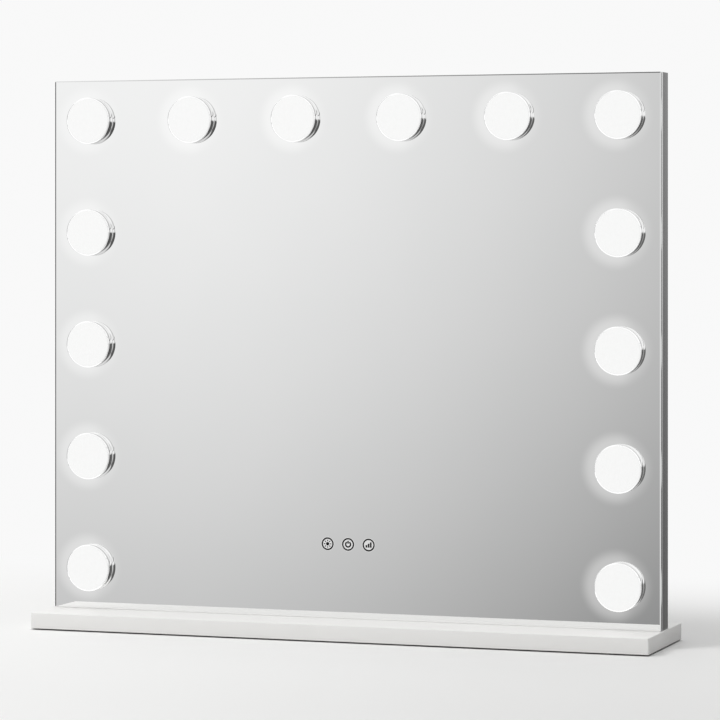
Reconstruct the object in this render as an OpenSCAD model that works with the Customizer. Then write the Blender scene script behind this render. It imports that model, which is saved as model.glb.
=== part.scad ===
// Lighted vanity mirror: a mirror panel with round LED lamps across the top and
// down both sides, three touch icons and a flat base that it stands on.
// The origin is the middle of the footprint, on the surface that it stands on.
// X runs across the mirror, the mirror faces -Y and Z points up. Millimetres.

/* [Panel] */
// Width of the mirror panel
panel_w = 600; // [580:1:640]
// Height of the mirror panel
panel_h = 507; // [490:1:540]
// Thickness of the mirror glass
glass_t = 4; // [3:0.5:5]
// Width of the ground bevel round the front of the glass
glass_bevel = 1; // [0.5:0.1:1.5]
// Thickness of the foam tape that holds the glass
tape_t = 1; // [0.8:0.1:1.5]
// Depth of the frame rails, from the tape to the back
frame_d = 22; // [21:0.5:28]
// Wall thickness of the frame rails
rail_wall = 1.6; // [1.2:0.1:2]
// Thickness of the sheet back panel
back_t = 1; // [0.8:0.1:1.5]

/* [Base] */
// Width of the base
base_w = 603; // [600:1:660]
// Depth of the base, front to back
base_d = 125; // [110:1:160]
// Thickness of the base
base_t = 15; // [12:0.5:20]
// Width of the bevel on the edges of the base
base_bevel = 0.8; // [0.4:0.1:2]
// Distance from the front of the base to the mirror face
panel_setback = 51.5; // [45:0.5:55]
// Height of the rubber feet under the base
foot_t = 1; // [1:0.5:3]
// Radius of each rubber foot
foot_r = 9; // [6:0.5:10]

/* [Lamps] */
// Diameter of each lamp
lamp_d = 44.4; // [43:0.1:48]
// How far each lamp stands out of the mirror face
lamp_h = 8.5; // [8:0.1:12]
// Number of lamps in the top row
top_count = 6; // [4:1:6]
// Number of lamps below the top row on each side
side_count = 4; // [3:1:4]
// Distance from the side of the panel to the lamp centres
side_margin = 38.2; // [36:0.1:45]
// Distance from the top of the panel to the lamp centres
top_margin = 38.7; // [36:0.1:45]
// Distance from the bottom of the panel to the lowest lamp centres
bottom_margin = 39.5; // [36:0.1:60]

/* [Touch icons] */
// Height of the icons above the bottom of the panel
icon_up = 69.7; // [60:0.1:80]
// Distance between neighbouring icons
icon_pitch = 20.3; // [15:0.1:22]
// Outer diameter of each icon's ring
icon_d = 12; // [10:0.5:14]

/* [Wall hangers] */
// Distance between the two keyholes
hanger_pitch = 400; // [300:1:440]
// Height of the keyholes above the bottom of the panel
hanger_up = 414; // [380:1:420]
// Radius of the round part that passes a screw head
keyhole_head_r = 4.5; // [4:0.1:5]
// Width of the slot that holds the screw shank
keyhole_slot_w = 4.6; // [4:0.1:5]

/* [Hidden] */
$fn = 64;
lap = 0.05; // overlap of joined shapes and reach of cuts

// Positions across the depth, front to back
glass_y = panel_setback - base_d / 2;
tape_y = glass_y + glass_t;
frame_y = tape_y + tape_t;
back_y = frame_y + frame_d;

// Positions up the height
panel_z = foot_t + base_t;
centre_z = panel_z + panel_h / 2;

// Frame rail section
flange_w = 12;
rear_flange_w = 10;
rear_flange_y = frame_d - back_t - rail_wall;
groove_w = 0.8;
groove_depth = 0.4;
front_groove_at = 3.3;
middle_groove_at = 9;
mitre_w = flange_w + 2;
key_leg = 32;
key_w = 8;
key_t = 4;
key_gap = 0.1; // between a corner key and the walls of the rails
tape_w = 10;
tape_inset = 1;

// Lamp parts
lamp_r = lamp_d / 2;
cap_t = 2.5;
cap_round = 0.6;
cap_proud = 0.5; // how far the cap stands out of the cup
rim_h = lamp_h - cap_proud;
rim_wall = 1;
rim_floor = 1.5;
neck_r = 9;
neck_bore_r = 6.5;
neck_len = glass_t + 9;
glass_hole_r = 9.5;
cap_r = lamp_r - rim_wall - 0.05;
skirt_t = 1.2;
skirt_h = lamp_h - cap_t - rim_floor;
board_t = 1;
board_r = cap_r - skirt_t - 0.2;
board_hole_r = 3;
chip_w = 2.8;
chip_h = 0.7;
chip_rings = [[12, 13], [5, 6]]; // number of chips and radius of each ring
nut_h = 3;
nut_r = 13.5;
nut_clearance = 0.05;

// Lamp centres, [x, z]: the top row from left to right, then each side downwards
lamp_x = panel_w / 2 - side_margin;
top_z = panel_z + panel_h - top_margin;
bottom_z = panel_z + bottom_margin;
top_pitch = 2 * lamp_x / (top_count - 1);
side_pitch = (top_z - bottom_z) / side_count;
top_row = [for (i = [0:top_count - 1]) [i * top_pitch - lamp_x, top_z]];
side_rows = [for (side = [-1, 1]) for (j = [1:side_count]) [side * lamp_x, top_z - j * side_pitch]];
lamps = concat(top_row, side_rows);

// Touch icons, printed on the glass
icon_t = 0.1;
icon_line = 1.4;
icon_z = panel_z + icon_up;

// Back panel, its screws, the hangers and the power inlet
back_gap = 0.2;
screw_inset = 6;
screw_x = [-225, -75, 75, 225];
screw_z = [-165, 0, 165];
screw_r = 1.4;
screw_len = 6;
screw_head_r = 3;
screw_head_h = 1.4;
screw_head_taper = 0.75; // top of the head as a share of its foot
screw_cross = [3, 0.7, 1.4]; // one arm of the cross recess
panel_hole_r = screw_r + 0.3;
hanger_w = 34;
hanger_h = 46;
hanger_below = 16; // how far the plate reaches below its keyhole
hanger_t = 1.5;
hanger_z = panel_z + hanger_up;
keyhole_travel = 9;
window_edge = 1.6;
rivet_r = 1.6;
rivet_head_r = 3;
rivet_head_h = 0.8;
rivet_up = [-11, 25];
inlet_x = 180;
inlet_z = panel_z + 54;
inlet_r = 5.6;
inlet_flange_r = 7.5;
inlet_flange_t = 1.5;
inlet_nut_r = 8.5;
inlet_nut_h = 2.4;
inlet_tab = [0.6, 2.4, 3]; // each solder tab
inlet_tab_x = 2.4;
inlet_bore_r = 2.85;
inlet_pin_r = 1;
inlet_depth = 9.5;
inlet_len = 12;

// Boards and wires inside
touch_board_size = [70, 1.6, 24];
control_x = 95;
control_z = panel_z + 89;
control_size = [60, 1.6, 40];
standoff_h = 4;
standoff_r = 2.5;
socket_inset = 4; // from the end of a board to the middle of its ribbon socket or standoff
supply_inset = 9; // from the end of the control board to the middle of its lamp socket
ribbon_w = 6;
ribbon_t = 1;
wire_y = frame_y + 12;
wire_r = 1.5;
lead_r = 0.7;
lead_x = 1.2; // from a lamp's centre to each of its two leads
splice = [8, 6, 6];
trunk_inset = 20;
trunk_x = lamp_x - trunk_inset;
trunk_z = top_z - trunk_inset;

// Base screws
base_screw_x = [-250, -90, 90, 250];
base_screw_r = 2;
base_hole_r = 2.25;
counterbore_r = 4.5;
counterbore_depth = 5;
base_head_r = 3.8;
base_head_h = 2.4;
base_key_r = 1.6; // hexagonal recess in each head
base_key_depth = 1.4;
bush_r = 4.5;
bush_h = 7;
rail_mid_y = frame_y + frame_d / 2;

// Feet, from the edges of the base to their centres
foot_inset = 18;

corners = ["top_left", "top_right", "bottom_left", "bottom_right"];
icons = ["mode", "power", "brightness"];

// Rectangle w by h with its four corners cut off by c
module bevelled_rectangle(w, h, c) {
    polygon([[c - w / 2, -h / 2], [w / 2 - c, -h / 2], [w / 2, c - h / 2], [w / 2, h / 2 - c],
        [w / 2 - c, h / 2], [c - w / 2, h / 2], [-w / 2, h / 2 - c], [-w / 2, c - h / 2]]);
}

// Rectangle w wide from y 0 to t with a bevel c at both corners on y 0
module bevelled_strip(w, t, c) {
    polygon([[c - w / 2, 0], [w / 2 - c, 0], [w / 2, c], [w / 2, t], [-w / 2, t], [-w / 2, c]]);
}

// Puts children at a point with their Z axis towards the front of the mirror
module facing_front(x, y, z) {
    translate([x, y, z]) rotate([90, 0, 0]) children();
}

// Puts children at a point with their Z axis towards the back
module facing_back(x, y, z) {
    translate([x, y, z]) rotate([-90, 0, 0]) children();
}

// Round wire between two points that differ along one axis only
module wire(from, to, r) {
    run = to - from;
    turn = run.x != 0 ? [0, 90, 0] : run.y != 0 ? [-90, 0, 0] : [0, 0, 0];
    middle = (from + to) / 2;
    translate(middle) rotate(turn) cylinder(r = r, h = norm(run), center = true);
}

// Block centred on a point
module block(at, size) {
    translate(at) cube(size, center = true);
}

module mirror_glass() {
    color("gainsboro")
    difference() {
        intersection() {
            translate([0, glass_y, panel_z]) linear_extrude(panel_h)
                bevelled_strip(panel_w, glass_t, glass_bevel);
            translate([0, glass_y, centre_z]) rotate([90, 0, 90])
                linear_extrude(panel_w, center = true)
                rotate(-90) bevelled_strip(panel_h, glass_t, glass_bevel);
        }
        for (p = lamps) facing_back(p[0], glass_y - lap, p[1])
            cylinder(r = glass_hole_r, h = glass_t + 2 * lap);
    }
}

// Foam tape along the four front flanges
module mirror_tape() {
    w = panel_w - 2 * tape_inset;
    h = panel_h - 2 * (tape_inset + tape_w);
    color("white") {
        for (s = [-1, 1]) {
            block([0, tape_y + tape_t / 2, centre_z + s * (panel_h / 2 - tape_inset - tape_w / 2)],
                [w, tape_t, tape_w]);
            block([s * (w - tape_w) / 2, tape_y + tape_t / 2, centre_z], [tape_w, tape_t, h]);
        }
    }
}

// Rail section, [y behind the tape, distance in from the outer face]
module rail_section() {
    difference() {
        union() {
            square([frame_d, rail_wall]);
            square([rail_wall, flange_w]);
            translate([rear_flange_y, 0]) square([rail_wall, rear_flange_w]);
        }
        for (at = [front_groove_at, middle_groove_at])
            translate([at, -lap]) square([groove_w, groove_depth + lap]);
    }
}

// Rail along X with mitred ends, its outer face half a span below the panel's centre
module rail(length, span) {
    intersection() {
        translate([0, frame_y, -span / 2]) rotate([90, 0, 90])
            linear_extrude(length, center = true) rail_section();
        translate([0, frame_y + frame_d / 2, -span / 2]) rotate([90, 0, 0])
            linear_extrude(frame_d + 2 * lap, center = true)
            polygon([[-length / 2, 0], [length / 2, 0],
                [length / 2 - mitre_w, mitre_w], [mitre_w - length / 2, mitre_w]]);
    }
}

// Pilot holes for the back panel screws along one rail
module rail_pilots(places, span) {
    for (x = places) facing_back(x, frame_y + rear_flange_y - lap, screw_inset - span / 2)
        cylinder(r = screw_r, h = rail_wall + 2 * lap);
}

module frame_top() {
    color("silver")
    translate([0, 0, centre_z]) rotate([0, 180, 0]) difference() {
        rail(panel_w, panel_h);
        rail_pilots(screw_x, panel_h);
    }
}

// The bottom rail carries four threaded bushes for the base screws
module frame_bottom() {
    color("silver")
    difference() {
        union() {
            translate([0, 0, centre_z]) difference() {
                rail(panel_w, panel_h);
                rail_pilots(screw_x, panel_h);
            }
            for (x = base_screw_x) translate([x, rail_mid_y, panel_z + rail_wall - lap])
                cylinder(r = bush_r, h = bush_h);
        }
        for (x = base_screw_x) translate([x, rail_mid_y, panel_z - lap])
            cylinder(r = base_screw_r, h = rail_wall + bush_h + 2 * lap);
    }
}

// Upright rail on one side, -1 left or 1 right
module frame_side(side) {
    color("silver")
    translate([0, 0, centre_z]) rotate([0, side * -90, 0]) difference() {
        rail(panel_h, panel_w);
        rail_pilots(screw_z, panel_w);
    }
}

// Angle piece that joins two rails inside a corner; right and up are -1 or 1
module corner_key(right, up) {
    inset = rail_wall + key_gap;
    color("dimgray")
    translate([right * (panel_w / 2 - inset), frame_y + rail_wall + key_t / 2,
        centre_z + up * (panel_h / 2 - inset)]) union() {
        block([-right * key_leg / 2, 0, -up * key_w / 2], [key_leg, key_t, key_w]);
        block([-right * key_w / 2, 0, -up * key_leg / 2], [key_w, key_t, key_leg]);
    }
}

// Chrome cup that stands on the glass, with a neck through the glass
module lamp_rim(p) {
    color("lightsteelblue")
    facing_front(p[0], glass_y, p[1]) rotate_extrude()
        polygon([[neck_bore_r, -neck_len], [neck_r, -neck_len], [neck_r, 0], [lamp_r, 0],
            [lamp_r, rim_h], [lamp_r - rim_wall, rim_h], [lamp_r - rim_wall, rim_floor],
            [neck_bore_r, rim_floor]]);
}

// Opal diffuser set in the mouth of the cup, with a skirt that stands on the cup's floor
module lamp_cap(p) {
    color("white")
    facing_front(p[0], glass_y, p[1]) rotate_extrude() union() {
        translate([0, lamp_h - cap_t]) square([cap_r - cap_round, cap_t]);
        translate([0, lamp_h - cap_t]) square([cap_r, cap_t - cap_round]);
        translate([cap_r - cap_round, lamp_h - cap_round]) circle(cap_round);
        translate([cap_r - skirt_t, rim_floor]) square([skirt_t, skirt_h + lap]);
    }
}

// Round LED board on the floor of each cup
module lamp_boards() {
    color("khaki")
    for (p = lamps) facing_front(p[0], glass_y - rim_floor, p[1]) difference() {
        union() {
            cylinder(r = board_r, h = board_t);
            for (ring = chip_rings) for (k = [1:ring[0]])
                rotate(k * 360 / ring[0]) translate([ring[1], 0, board_t + chip_h / 2 - lap])
                    cube([chip_w, chip_w, chip_h], center = true);
        }
        translate([0, 0, -lap]) cylinder(r = board_hole_r, h = board_t + 2 * lap);
    }
}

// Hexagonal nut that clamps each lamp from behind the glass
module lamp_nuts() {
    color("slategray")
    for (p = lamps) facing_back(p[0], tape_y, p[1]) difference() {
        cylinder(r = nut_r, h = nut_h, $fn = 6);
        translate([0, 0, -lap]) cylinder(r = neck_r + nut_clearance, h = nut_h + 2 * lap);
    }
}

// Trunk wires beside the lamps, with a splice and a branch to each lamp
module lamp_wiring() {
    color("red") union() {
        wire([-trunk_x, wire_y, trunk_z], [trunk_x, wire_y, trunk_z], wire_r);
        for (s = [-1, 1])
            wire([s * trunk_x, wire_y, bottom_z], [s * trunk_x, wire_y, trunk_z], wire_r);
        wire([control_x + control_size.x / 2 - supply_inset + 3, wire_y, control_z],
            [trunk_x, wire_y, control_z], wire_r);
        block([trunk_x, wire_y, control_z], splice);
        for (s = [-1, 1]) block([s * trunk_x, wire_y, trunk_z], splice);
        for (p = lamps) lamp_branch(p);
    }
}

// Branch from the trunk to one lamp: side lamps branch across, top lamps upwards
module lamp_branch(p) {
    on_side = p[1] < top_z - 1;
    start = on_side ? [sign(p[0]) * trunk_x, wire_y, p[1]] : [p[0], wire_y, trunk_z];
    lamp = [p[0], wire_y, p[1]];
    block(start, splice);
    wire(start, lamp, wire_r);
    block(lamp, splice);
    if (!on_side && abs(p[0]) > trunk_x)
        wire([sign(p[0]) * trunk_x, wire_y, trunk_z], start, wire_r);
    for (s = [-1, 1]) wire([p[0] + s * lead_x, glass_y - rim_floor + lap, p[1]],
        [p[0] + s * lead_x, wire_y, p[1]], lead_r);
}

// Ring shared by the three touch icons
module icon_ring() {
    difference() {
        cylinder(r = icon_d / 2, h = icon_t);
        translate([0, 0, -lap]) cylinder(r = icon_d / 2 - icon_line, h = icon_t + 2 * lap);
    }
}

// Ring with a small sun: changes the colour of the light
module touch_icon_mode() {
    color("black")
    facing_front(-icon_pitch, glass_y, icon_z) {
        icon_ring();
        cylinder(r = icon_d * 0.135, h = icon_t);
        for (k = [0:7]) rotate(k * 45) translate([icon_d * 0.255, 0, icon_t / 2])
            cube([icon_d * 0.11, icon_d * 0.085, icon_t], center = true);
    }
}

// Ring with a standby mark: turns the light on and off
module touch_icon_power() {
    mark_r = icon_d * 0.26;
    mark_line = icon_d * 0.12;
    color("black")
    facing_front(0, glass_y, icon_z) {
        icon_ring();
        difference() {
            cylinder(r = mark_r, h = icon_t);
            translate([0, 0, -lap]) cylinder(r = mark_r - mark_line, h = icon_t + 2 * lap);
            translate([0, mark_r, icon_t / 2]) cube([mark_r, mark_r * 1.4, 1], center = true);
        }
        translate([0, mark_r * 0.7, icon_t / 2]) cube([mark_line, mark_r, icon_t], center = true);
    }
}

// Ring with three rising bars: sets the brightness
module touch_icon_brightness() {
    bar_w = icon_d * 0.135;
    bar_pitch = icon_d * 0.18;
    foot = -icon_d * 0.2;
    color("black")
    facing_front(icon_pitch, glass_y, icon_z) {
        icon_ring();
        for (k = [0:2]) translate([(k - 1) * bar_pitch - bar_w / 2, foot, 0])
            cube([bar_w, icon_d * (0.2 + 0.11 * k), icon_t]);
    }
}

// Sensor board against the back of the glass, behind the icons
module touch_board() {
    pad_t = 0.3;
    color("darkgreen")
    translate([0, tape_y, icon_z]) union() {
        block([0, touch_board_size.y / 2, 0], touch_board_size);
        for (k = [-1:1]) facing_back(k * icon_pitch, touch_board_size.y - lap, 0)
            cylinder(r = icon_d / 2 - 1, h = pad_t);
        block([touch_board_size.x / 2 - socket_inset, touch_board_size.y + 2 - lap, 0], [6, 4, 10]);
    }
}

// Ribbon from the sensor board to the control board
module touch_lead() {
    x = touch_board_size.x / 2 - socket_inset;
    start_y = tape_y + touch_board_size.y + 4;
    turn_y = wire_y + ribbon_t / 2;
    end_x = control_x - control_size.x / 2 + socket_inset;
    color("lightgray") union() {
        block([x, (start_y + turn_y) / 2, icon_z], [ribbon_t, turn_y - start_y, ribbon_w]);
        block([(x + end_x) / 2, wire_y, icon_z], [end_x - x + ribbon_t, ribbon_t, ribbon_w]);
    }
}

// Driver board on four standoffs on the back panel
module control_board() {
    board_y = back_y - back_t - standoff_h - control_size.y;
    ribbon_end = board_y - wire_y - ribbon_t / 2;
    supply_end = board_y - wire_y + 3;
    color("seagreen") union() {
        block([control_x, board_y + control_size.y / 2, control_z], control_size);
        for (sx = [-1, 1]) for (sz = [-1, 1])
            facing_back(control_x + sx * (control_size.x / 2 - socket_inset),
                board_y + control_size.y - lap, control_z + sz * (control_size.z / 2 - socket_inset))
                cylinder(r = standoff_r, h = standoff_h + lap);
        facing_front(control_x - 8, board_y + lap, control_z + 10) cylinder(r = 4, h = 8);
        facing_front(control_x + 6, board_y + lap, control_z + 12) cylinder(r = 3, h = 6);
        block([control_x, board_y - 0.7, control_z - 3], [9, 1.6, 9]);
        block([control_x - 14, board_y - 1.2, control_z - 2], [6, 2.6, 7]);
        block([control_x - control_size.x / 2 + socket_inset, board_y - ribbon_end / 2 + lap, icon_z + 3],
            [8, ribbon_end + lap, 7]);
        block([control_x + control_size.x / 2 - supply_inset, board_y - supply_end / 2 + lap, control_z],
            [6, supply_end + lap, 8]);
    }
}

// Panel-mount socket for a round power plug, with its centre pin
module power_inlet() {
    color("black")
    facing_back(inlet_x, back_y, inlet_z) union() {
        difference() {
            union() {
                translate([0, 0, -inlet_len]) cylinder(r = inlet_r, h = inlet_len + lap);
                cylinder(r = inlet_flange_r, h = inlet_flange_t);
            }
            translate([0, 0, inlet_flange_t - inlet_depth])
                cylinder(r = inlet_bore_r, h = inlet_depth + lap);
        }
        translate([0, 0, inlet_flange_t - inlet_depth - lap])
            cylinder(r = inlet_pin_r, h = inlet_depth - 1);
        for (s = [-1, 1]) block([s * inlet_tab_x, 0, -inlet_len - inlet_tab.z / 2],
            inlet_tab + [0, 0, lap]);
    }
}

// Nut that holds the power inlet inside the back panel
module power_inlet_nut() {
    color("silver")
    facing_front(inlet_x, back_y - back_t, inlet_z) difference() {
        cylinder(r = inlet_nut_r, h = inlet_nut_h, $fn = 6);
        translate([0, 0, -lap]) cylinder(r = inlet_r + nut_clearance, h = inlet_nut_h + 2 * lap);
    }
}

// Lead from the power inlet to the control board
module power_lead() {
    inlet_end = [inlet_x, back_y - inlet_len - inlet_tab.z, inlet_z];
    turn = [control_x + 12, inlet_end.y, inlet_z];
    top = [turn.x, inlet_end.y, control_z - control_size.z / 2 + 6];
    color("black") union() {
        block(inlet_end - [0, 1.5, 0], [9, 3, 5]);
        wire(inlet_end - [0, 1.5, 0], turn - [0, 1.5, 0], wire_r);
        block(turn - [0, 1.5, 0], [5, 4, 5]);
        wire(turn - [0, 1.5, 0], top - [0, 1.5, 0], wire_r);
        block([top.x, (top.y + back_y - back_t - standoff_h - control_size.y) / 2 - 1.5, top.z],
            [8, back_y - back_t - standoff_h - control_size.y - top.y + 3, 5]);
    }
}

// Keyhole outline: a round opening with a slot running up from it
module keyhole(head_r, slot_w) {
    circle(head_r);
    translate([-slot_w / 2, 0]) square([slot_w, keyhole_travel]);
    translate([0, keyhole_travel]) circle(slot_w / 2);
}

// Sheet panel that closes the back of the frame
module back_panel() {
    w = panel_w - 2 * (rail_wall + back_gap);
    h = panel_h - 2 * (rail_wall + back_gap);
    color("whitesmoke")
    difference() {
        block([0, back_y - back_t / 2, centre_z], [w, back_t, h]);
        each_back_screw() translate([0, 0, -back_t - lap])
            cylinder(r = panel_hole_r, h = back_t + 2 * lap);
        for (s = [-1, 1]) facing_front(s * hanger_pitch / 2, back_y + lap, hanger_z) {
            linear_extrude(back_t + 2 * lap)
                keyhole(keyhole_head_r + window_edge, keyhole_slot_w + 2 * window_edge);
            for (up = rivet_up) translate([0, up, 0]) cylinder(r = rivet_r, h = back_t + 2 * lap);
        }
        facing_front(inlet_x, back_y + lap, inlet_z) cylinder(r = inlet_r, h = back_t + 2 * lap);
    }
}

// Puts children at each back panel screw, Z axis out of the back
module each_back_screw() {
    for (s = [-1, 1]) {
        for (x = screw_x) facing_back(x, back_y, centre_z + s * (panel_h / 2 - screw_inset)) children();
        for (z = screw_z) facing_back(s * (panel_w / 2 - screw_inset), back_y, centre_z + z) children();
    }
}

// Cross-head screws that hold the back panel
module back_panel_screws() {
    color("silver")
    each_back_screw() difference() {
        union() {
            cylinder(r1 = screw_head_r, r2 = screw_head_r * screw_head_taper, h = screw_head_h);
            translate([0, 0, -screw_len]) cylinder(r = screw_r, h = screw_len + lap);
        }
        for (a = [0, 90]) rotate(a) block([0, 0, screw_head_h], screw_cross);
    }
}

// Steel plate with a keyhole, riveted inside the back panel; side is -1 or 1
module hanger(side) {
    color("silver")
    facing_front(side * hanger_pitch / 2, back_y - back_t, hanger_z) union() {
        linear_extrude(hanger_t) difference() {
            translate([-hanger_w / 2, -hanger_below]) square([hanger_w, hanger_h]);
            keyhole(keyhole_head_r, keyhole_slot_w);
        }
        for (up = rivet_up) translate([0, up, 0]) {
            translate([0, 0, -back_t - rivet_head_h]) cylinder(r = rivet_head_r, h = rivet_head_h);
            translate([0, 0, -back_t - lap]) cylinder(r = rivet_r, h = back_t + 2 * lap);
        }
    }
}

// Flat slab that the panel is screwed to, its screw holes counterbored from below
module base() {
    color("white")
    difference() {
        translate([0, 0, foot_t + base_t / 2]) intersection() {
            linear_extrude(base_t, center = true) bevelled_rectangle(base_w, base_d, base_bevel);
            rotate([90, 0, 0]) linear_extrude(base_d, center = true)
                bevelled_rectangle(base_w, base_t, base_bevel);
            rotate([90, 0, 90]) linear_extrude(base_w, center = true)
                bevelled_rectangle(base_d, base_t, base_bevel);
        }
        for (x = base_screw_x) translate([x, rail_mid_y, foot_t - lap]) {
            cylinder(r = base_hole_r, h = base_t + 2 * lap);
            cylinder(r = counterbore_r, h = counterbore_depth + lap);
        }
    }
}

// Screws from below the base into the bushes of the bottom rail
module base_screws() {
    head_z = foot_t + counterbore_depth - base_head_h;
    tip_z = panel_z + rail_wall + bush_h - 1;
    color("silver")
    for (x = base_screw_x) translate([x, rail_mid_y, 0]) difference() {
        union() {
            translate([0, 0, head_z]) cylinder(r = base_head_r, h = base_head_h);
            translate([0, 0, head_z + lap]) cylinder(r = base_screw_r, h = tip_z - head_z);
        }
        translate([0, 0, head_z - lap]) cylinder(r = base_key_r, h = base_key_depth, $fn = 6);
    }
}

// Round pads under the corners and the middle of the base
module rubber_feet() {
    color("dimgray")
    for (x = [foot_inset - base_w / 2, 0, base_w / 2 - foot_inset]) for (s = [-1, 1])
        translate([x, s * (base_d / 2 - foot_inset), 0]) cylinder(r = foot_r, h = foot_t);
}

mirror_glass();
mirror_tape();
frame_top();
frame_bottom();
frame_side(-1);  // frame_left
frame_side(1);  // frame_right
for (k = [0:3]) corner_key(k % 2 == 0 ? -1 : 1, k < 2 ? 1 : -1);
for (i = [1:len(lamps)]) lamp_rim(lamps[i - 1]);
for (i = [1:len(lamps)]) lamp_cap(lamps[i - 1]);
lamp_boards();
lamp_nuts();
lamp_wiring();
touch_icon_mode();
touch_icon_power();
touch_icon_brightness();
touch_board();
touch_lead();
control_board();
power_inlet();
power_inlet_nut();
power_lead();
back_panel();
back_panel_screws();
hanger(-1);  // hanger_left
hanger(1);  // hanger_right
base();
base_screws();
rubber_feet();
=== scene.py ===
# Lighted vanity mirror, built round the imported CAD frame.
# Metres: X runs across, the mirror faces -Y, Z is up, and the table is at 0.
import math

import bmesh
import bpy
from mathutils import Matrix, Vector


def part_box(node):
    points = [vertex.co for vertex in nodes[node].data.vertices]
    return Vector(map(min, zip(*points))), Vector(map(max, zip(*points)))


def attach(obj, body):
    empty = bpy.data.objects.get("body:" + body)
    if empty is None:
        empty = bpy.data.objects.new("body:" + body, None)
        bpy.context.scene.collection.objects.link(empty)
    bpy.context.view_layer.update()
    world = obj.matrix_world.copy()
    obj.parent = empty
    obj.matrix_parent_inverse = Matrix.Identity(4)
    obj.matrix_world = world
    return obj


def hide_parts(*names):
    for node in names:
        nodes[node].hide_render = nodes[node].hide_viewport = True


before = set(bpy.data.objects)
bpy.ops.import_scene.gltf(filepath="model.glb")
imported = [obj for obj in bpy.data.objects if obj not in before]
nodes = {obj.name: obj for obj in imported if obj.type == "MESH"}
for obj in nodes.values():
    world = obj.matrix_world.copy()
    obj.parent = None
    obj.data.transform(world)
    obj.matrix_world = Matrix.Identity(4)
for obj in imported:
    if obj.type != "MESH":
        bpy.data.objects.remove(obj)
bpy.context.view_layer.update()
mm = 0.001
print("frame:", len(nodes), "CAD nodes")


# wraps one socket, so that an expression on values adds its Math nodes
class Shade:
    def __init__(self, tree, socket=None):
        self.tree = tree
        self.socket = socket

    def node(self, kind, settings=None, sockets=None, out=0):
        added = self.tree.nodes.new("ShaderNode" + kind)
        for name, value in (settings or {}).items():
            setattr(added, name, value)
        for name, value in (sockets or {}).items():
            if isinstance(value, Shade):
                self.tree.links.new(value.socket, added.inputs[name])
            else:
                added.inputs[name].default_value = value
        return Shade(self.tree, added.outputs[out])

    def math(self, operation, *values):
        return self.node("Math", {"operation": operation}, dict(enumerate(values)))

    def __add__(self, other):
        return self.math("ADD", self, other)

    def __radd__(self, other):
        return self.math("ADD", other, self)

    def __sub__(self, other):
        return self.math("SUBTRACT", self, other)

    def __rsub__(self, other):
        return self.math("SUBTRACT", other, self)

    def __mul__(self, other):
        return self.math("MULTIPLY", self, other)

    def __rmul__(self, other):
        return self.math("MULTIPLY", other, self)

    def __truediv__(self, other):
        return self.math("DIVIDE", self, other)

    def __rtruediv__(self, other):
        return self.math("DIVIDE", other, self)

    def __pow__(self, other):
        return self.math("POWER", self, other)

    def __abs__(self):
        return self.math("ABSOLUTE", self)

    def axes(self):
        split = self.node("SeparateXYZ", None, {0: self}).socket.node
        return [Shade(self.tree, socket) for socket in split.outputs]

    def smooth(self, low, high, shape="SMOOTHSTEP"):
        return self.node("MapRange", {"interpolation_type": shape},
                         {"Value": self, "From Min": low, "From Max": high})

    def blend(self, first, second):
        return self.node("Mix", {"data_type": "RGBA"}, {0: self, 6: first, 7: second}, out=2)


def grey(level):
    return (level, level, level, 1)


def colour(red, green, blue):
    return (red, green, blue, 1)


def stretched(place, factors):
    return place.node("VectorMath", {"operation": "MULTIPLY"}, {0: place, 1: factors})


def grain(place, scale, detail=2, factors=None):
    # noise from 0 to 1, scale in cells a metre
    where = stretched(place, factors) if factors else place
    return place.node("TexNoise", None, {"Vector": where, "Scale": scale, "Detail": detail})


def relief(height, strength, distance):
    sockets = {"Strength": strength, "Distance": distance, "Height": height}
    return height.node("Bump", None, sockets)


def makeFinish(name, fixed, vary):
    # fixed values sit on the shader's own sockets
    # vary returns what changes over the surface, by socket
    material = bpy.data.materials.new(name)
    material.use_nodes = True
    tree = material.node_tree
    shader = tree.nodes["Principled BSDF"]
    for socket, value in fixed.items():
        shader.inputs[socket].default_value = value
    start = Shade(tree)
    place = start.node("TexCoord", out="Object")
    for socket, link in vary(place).items():
        tree.links.new(link.socket, shader.inputs[socket])
    return material


cameraSet = {
    "stand": (1.0177, -2.9057, 0.380),
    "turn": 19.17,      # degrees left of straight ahead
    "lens": 164.1,
    "shift": -0.1811,   # looks lower without tilting, so that uprights stay upright
    "sideShift": 0.0006,
    "farthest": 200,
}


def addCamera(use):
    data = bpy.data.cameras.new("camera")
    data.lens = use["lens"]
    data.shift_x = use["sideShift"]
    data.shift_y = use["shift"]
    data.clip_end = use["farthest"]
    camera = bpy.data.objects.new("camera", data)
    camera.location = use["stand"]
    camera.rotation_euler = (math.radians(90), 0, math.radians(use["turn"]))
    bpy.context.scene.collection.objects.link(camera)
    bpy.context.scene.camera = camera


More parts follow.
